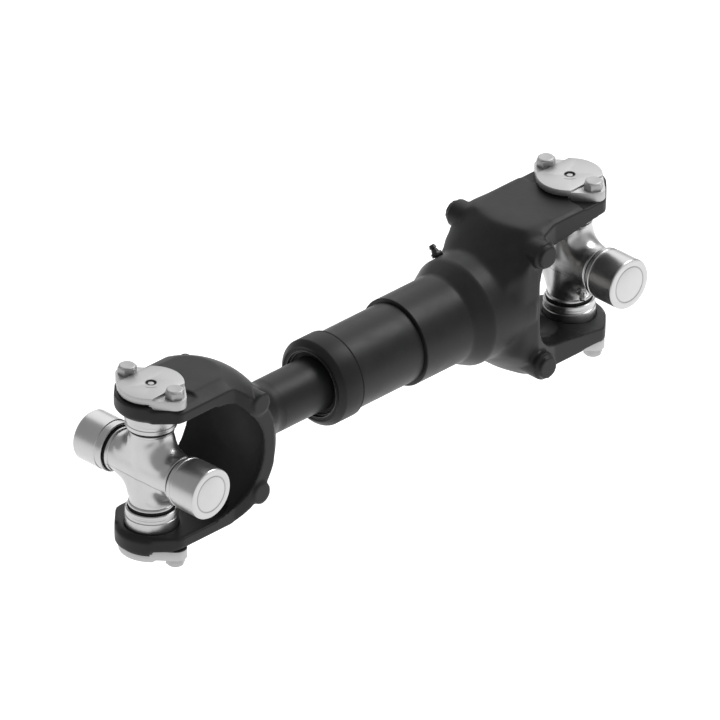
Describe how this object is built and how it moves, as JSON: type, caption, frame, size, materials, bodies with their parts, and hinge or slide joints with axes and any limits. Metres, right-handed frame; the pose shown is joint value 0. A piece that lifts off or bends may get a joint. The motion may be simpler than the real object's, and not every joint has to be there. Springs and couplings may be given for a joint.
{
  "type": "universal joint shaft",
  "caption": "Short driveshaft with a yoke shaft that slides by a spline in a sleeve yoke and a cross with roller bearing cups at each end.",
  "frame": {"origin": "on the shaft axis, midway between the two joint centres", "axes": "+X along the shaft from the yoke shaft's joint to the sleeve yoke's joint, +Z along the held cups, Y along the free cups"},
  "size_m": [0.609, 0.1548, 0.184],
  "materials": {
    "forged_black": "satin black paint over a forging",
    "cap_black": "satin black turned steel",
    "cup_steel": "fine ground bright steel",
    "cross_steel": "satin bright forging",
    "plate_steel": "zinc plated, satin",
    "bolt_steel": "zinc plated, satin",
    "roller_steel": "polished bearing steel",
    "fitting_steel": "plated steel",
    "fitting_black": "painted over",
    "plug_steel": "plain pressed steel",
    "seal_rubber": "matt black nitrile",
    "washer_plastic": "natural nylon"
  },
  "bodies": {
    "sleeve": {"sleeve_yoke": "forged_black", "dust_cap": "cap_black", "dust_cap_washer": "plug_steel", "dust_seal": "seal_rubber", "bore_plug": "plug_steel", "sleeve_grease_fitting": "fitting_black", "rear_top_cup": "cup_steel", "rear_top_cup_seal": "seal_rubber", "rear_top_thrust_washer": "washer_plastic", "rear_top_plate": "plate_steel", "rear_top_plate_bolts": "bolt_steel", "rear_bottom_cup": "cup_steel", "rear_bottom_cup_seal": "seal_rubber", "rear_bottom_thrust_washer": "washer_plastic", "rear_bottom_plate": "plate_steel", "rear_bottom_plate_bolts": "bolt_steel"},
    "yoke_shaft": {"yoke_shaft": "forged_black", "front_top_cup": "cup_steel", "front_top_cup_seal": "seal_rubber", "front_top_thrust_washer": "washer_plastic", "front_top_plate": "plate_steel", "front_top_plate_bolts": "bolt_steel", "front_bottom_cup": "cup_steel", "front_bottom_cup_seal": "seal_rubber", "front_bottom_thrust_washer": "washer_plastic", "front_bottom_plate": "plate_steel", "front_bottom_plate_bolts": "bolt_steel"},
    "front_cross": {"front_cross": "cross_steel", "front_cross_grease_fitting": "fitting_steel"},
    "front_held_rollers": {"front_top_needle_rollers": "roller_steel", "front_bottom_needle_rollers": "roller_steel"},
    "front_near_cup": {"front_near_cup": "cup_steel", "front_near_cup_seal": "seal_rubber", "front_near_thrust_washer": "washer_plastic"},
    "front_near_rollers": {"front_near_needle_rollers": "roller_steel"},
    "front_far_cup": {"front_far_cup": "cup_steel", "front_far_cup_seal": "seal_rubber", "front_far_thrust_washer": "washer_plastic"},
    "front_far_rollers": {"front_far_needle_rollers": "roller_steel"},
    "rear_cross": {"rear_cross": "cross_steel", "rear_cross_grease_fitting": "fitting_steel"},
    "rear_held_rollers": {"rear_top_needle_rollers": "roller_steel", "rear_bottom_needle_rollers": "roller_steel"},
    "rear_near_cup": {"rear_near_cup": "cup_steel", "rear_near_cup_seal": "seal_rubber", "rear_near_thrust_washer": "washer_plastic"},
    "rear_near_rollers": {"rear_near_needle_rollers": "roller_steel"},
    "rear_far_cup": {"rear_far_cup": "cup_steel", "rear_far_cup_seal": "seal_rubber", "rear_far_thrust_washer": "washer_plastic"},
    "rear_far_rollers": {"rear_far_needle_rollers": "roller_steel"}
  },
  "joints": [
    {"name": "spline_slip", "type": "slide", "parent": "sleeve", "child": "yoke_shaft", "axis": [1, 0, 0], "range_m": [-0.055, 0.05]},
    {"name": "front_cross_swing", "type": "hinge", "parent": "yoke_shaft", "child": "front_cross", "pos_m": [-0.2705, 0, 0], "axis": [0, 0, 1], "range_deg": [-30, 30]},
    {"name": "front_held_rollers_roll", "type": "hinge", "parent": "yoke_shaft", "child": "front_held_rollers", "pos_m": [-0.2705, 0, 0], "axis": [0, 0, 1], "range_deg": [-15, 15]},
    {"name": "front_near_cup_turn", "type": "hinge", "parent": "front_cross", "child": "front_near_cup", "pos_m": [-0.2705, 0, 0], "axis": [0, 1, 0], "continuous": true},
    {"name": "front_near_rollers_roll", "type": "hinge", "parent": "front_cross", "child": "front_near_rollers", "pos_m": [-0.2705, 0, 0], "axis": [0, 1, 0], "continuous": true},
    {"name": "front_far_cup_turn", "type": "hinge", "parent": "front_cross", "child": "front_far_cup", "pos_m": [-0.2705, 0, 0], "axis": [0, 1, 0], "continuous": true},
    {"name": "front_far_rollers_roll", "type": "hinge", "parent": "front_cross", "child": "front_far_rollers", "pos_m": [-0.2705, 0, 0], "axis": [0, 1, 0], "continuous": true},
    {"name": "rear_cross_swing", "type": "hinge", "parent": "sleeve", "child": "rear_cross", "pos_m": [0.2705, 0, 0], "axis": [0, 0, 1], "range_deg": [-30, 30]},
    {"name": "rear_held_rollers_roll", "type": "hinge", "parent": "sleeve", "child": "rear_held_rollers", "pos_m": [0.2705, 0, 0], "axis": [0, 0, 1], "range_deg": [-15, 15]},
    {"name": "rear_near_cup_turn", "type": "hinge", "parent": "rear_cross", "child": "rear_near_cup", "pos_m": [0.2705, 0, 0], "axis": [0, 1, 0], "continuous": true},
    {"name": "rear_near_rollers_roll", "type": "hinge", "parent": "rear_cross", "child": "rear_near_rollers", "pos_m": [0.2705, 0, 0], "axis": [0, 1, 0], "continuous": true},
    {"name": "rear_far_cup_turn", "type": "hinge", "parent": "rear_cross", "child": "rear_far_cup", "pos_m": [0.2705, 0, 0], "axis": [0, 1, 0], "continuous": true},
    {"name": "rear_far_rollers_roll", "type": "hinge", "parent": "rear_cross", "child": "rear_far_rollers", "pos_m": [0.2705, 0, 0], "axis": [0, 1, 0], "continuous": true}
  ],
  "couplings": [
    {"joint": "front_held_rollers_roll", "follows": "front_cross_swing", "ratio": 0.4542},
    {"joint": "front_near_rollers_roll", "follows": "front_near_cup_turn", "ratio": 0.5458},
    {"joint": "front_far_rollers_roll", "follows": "front_far_cup_turn", "ratio": 0.5458},
    {"joint": "rear_held_rollers_roll", "follows": "rear_cross_swing", "ratio": 0.4542},
    {"joint": "rear_near_rollers_roll", "follows": "rear_near_cup_turn", "ratio": 0.5458},
    {"joint": "rear_far_rollers_roll", "follows": "rear_far_cup_turn", "ratio": 0.5458}
  ]
}
